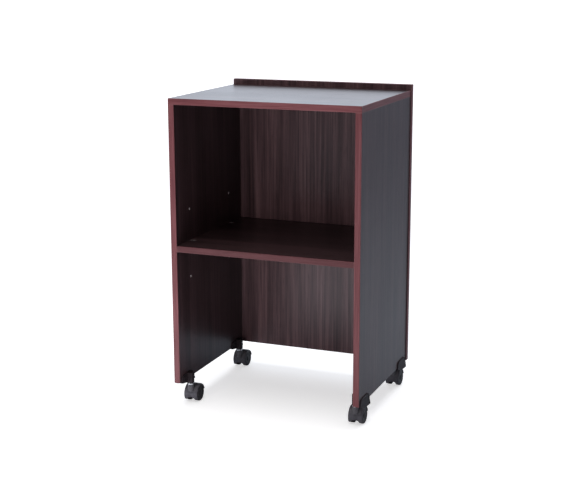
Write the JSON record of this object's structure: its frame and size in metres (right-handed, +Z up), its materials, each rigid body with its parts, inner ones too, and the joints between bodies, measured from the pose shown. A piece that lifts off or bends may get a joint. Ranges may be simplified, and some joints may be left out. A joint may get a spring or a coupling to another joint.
{
  "type": "lectern podium",
  "caption": "Mobile lectern podium: open-front laminated cabinet with a shelf, a flat top with a low rear retaining lip, and hooded twin-wheel swivel casters in clip-on brackets",
  "frame": {"origin": "on the floor, at the centre of the overall box", "axes": "+Z up; -Y is the open front that the speaker stands at; +Y is the closed back with the lip; +X is the side on the right, seen from the open front"},
  "size_m": [0.617, 0.501, 0.989],
  "materials": {
    "laminate": "dark mahogany laminate on particle board, satin",
    "edge_band": "reddish brown plastic edge banding, satin",
    "fitting_plastic": "dark moulded plastic",
    "zinc": "bright zinc plate",
    "beech": "bare fluted beech",
    "caster_plastic": "black moulded nylon, slight sheen",
    "wheel_plastic": "black moulded nylon"
  },
  "bodies": {
    "cabinet": {"left_side_panel": "laminate", "right_side_panel": "laminate", "top_panel": "laminate", "back_panel": "laminate", "shelf_panel": "laminate", "left_front_edge_band": "edge_band", "right_front_edge_band": "edge_band", "top_front_edge_band": "edge_band", "top_left_edge_band": "edge_band", "top_right_edge_band": "edge_band", "back_left_edge_band": "edge_band", "back_right_edge_band": "edge_band", "lip_edge_band": "edge_band", "shelf_front_edge_band": "edge_band", "shelf_housing_front_left": "fitting_plastic", "shelf_housing_rear_left": "fitting_plastic", "shelf_housing_front_right": "fitting_plastic", "shelf_housing_rear_right": "fitting_plastic", "shelf_bolt_front_left": "zinc", "shelf_bolt_rear_left": "zinc", "shelf_bolt_front_right": "zinc", "shelf_bolt_rear_right": "zinc", "top_dowel_front_left": "beech", "top_dowel_rear_left": "beech", "top_dowel_front_right": "beech", "top_dowel_rear_right": "beech", "caster_bracket_front_left": "caster_plastic", "caster_bracket_rear_left": "caster_plastic", "caster_bracket_front_right": "caster_plastic", "caster_bracket_rear_right": "caster_plastic", "bracket_screw_front_left_a": "zinc", "bracket_screw_front_left_b": "zinc", "bracket_screw_rear_left_a": "zinc", "bracket_screw_rear_left_b": "zinc", "bracket_screw_front_right_a": "zinc", "bracket_screw_front_right_b": "zinc", "bracket_screw_rear_right_a": "zinc", "bracket_screw_rear_right_b": "zinc", "caster_stem_front_left": "zinc", "caster_stem_rear_left": "zinc", "caster_stem_front_right": "zinc", "caster_stem_rear_right": "zinc"},
    "caster_front_left": {"caster_hood_front_left": "caster_plastic", "caster_axle_front_left": "zinc"},
    "caster_rear_left": {"caster_hood_rear_left": "caster_plastic", "caster_axle_rear_left": "zinc"},
    "caster_front_right": {"caster_hood_front_right": "caster_plastic", "caster_axle_front_right": "zinc"},
    "caster_rear_right": {"caster_hood_rear_right": "caster_plastic", "caster_axle_rear_right": "zinc"},
    "wheel_front_left_left": {"wheel_front_left_left": "wheel_plastic"},
    "wheel_front_left_right": {"wheel_front_left_right": "wheel_plastic"},
    "wheel_rear_left_left": {"wheel_rear_left_left": "wheel_plastic"},
    "wheel_rear_left_right": {"wheel_rear_left_right": "wheel_plastic"},
    "wheel_front_right_left": {"wheel_front_right_left": "wheel_plastic"},
    "wheel_front_right_right": {"wheel_front_right_right": "wheel_plastic"},
    "wheel_rear_right_left": {"wheel_rear_right_left": "wheel_plastic"},
    "wheel_rear_right_right": {"wheel_rear_right_right": "wheel_plastic"}
  },
  "joints": [
    {"name": "swivel_front_left", "type": "hinge", "parent": "cabinet", "child": "caster_front_left", "pos_m": [-0.276, -0.1945, 0.0535], "axis": [0, 0, 1], "continuous": true},
    {"name": "swivel_rear_left", "type": "hinge", "parent": "cabinet", "child": "caster_rear_left", "pos_m": [-0.276, 0.1835, 0.0535], "axis": [0, 0, 1], "continuous": true},
    {"name": "swivel_front_right", "type": "hinge", "parent": "cabinet", "child": "caster_front_right", "pos_m": [0.276, -0.1945, 0.0535], "axis": [0, 0, 1], "continuous": true},
    {"name": "swivel_rear_right", "type": "hinge", "parent": "cabinet", "child": "caster_rear_right", "pos_m": [0.276, 0.1835, 0.0535], "axis": [0, 0, 1], "continuous": true},
    {"name": "spin_front_left_left", "type": "hinge", "parent": "caster_front_left", "child": "wheel_front_left_left", "pos_m": [-0.276, -0.1695, 0.0255], "axis": [1, 0, 0], "continuous": true},
    {"name": "spin_front_left_right", "type": "hinge", "parent": "caster_front_left", "child": "wheel_front_left_right", "pos_m": [-0.276, -0.1695, 0.0255], "axis": [1, 0, 0], "continuous": true},
    {"name": "spin_rear_left_left", "type": "hinge", "parent": "caster_rear_left", "child": "wheel_rear_left_left", "pos_m": [-0.276, 0.2085, 0.0255], "axis": [1, 0, 0], "continuous": true},
    {"name": "spin_rear_left_right", "type": "hinge", "parent": "caster_rear_left", "child": "wheel_rear_left_right", "pos_m": [-0.276, 0.2085, 0.0255], "axis": [1, 0, 0], "continuous": true},
    {"name": "spin_front_right_left", "type": "hinge", "parent": "caster_front_right", "child": "wheel_front_right_left", "pos_m": [0.276, -0.1695, 0.0255], "axis": [1, 0, 0], "continuous": true},
    {"name": "spin_front_right_right", "type": "hinge", "parent": "caster_front_right", "child": "wheel_front_right_right", "pos_m": [0.276, -0.1695, 0.0255], "axis": [1, 0, 0], "continuous": true},
    {"name": "spin_rear_right_left", "type": "hinge", "parent": "caster_rear_right", "child": "wheel_rear_right_left", "pos_m": [0.276, 0.2085, 0.0255], "axis": [1, 0, 0], "continuous": true},
    {"name": "spin_rear_right_right", "type": "hinge", "parent": "caster_rear_right", "child": "wheel_rear_right_right", "pos_m": [0.276, 0.2085, 0.0255], "axis": [1, 0, 0], "continuous": true}
  ]
}
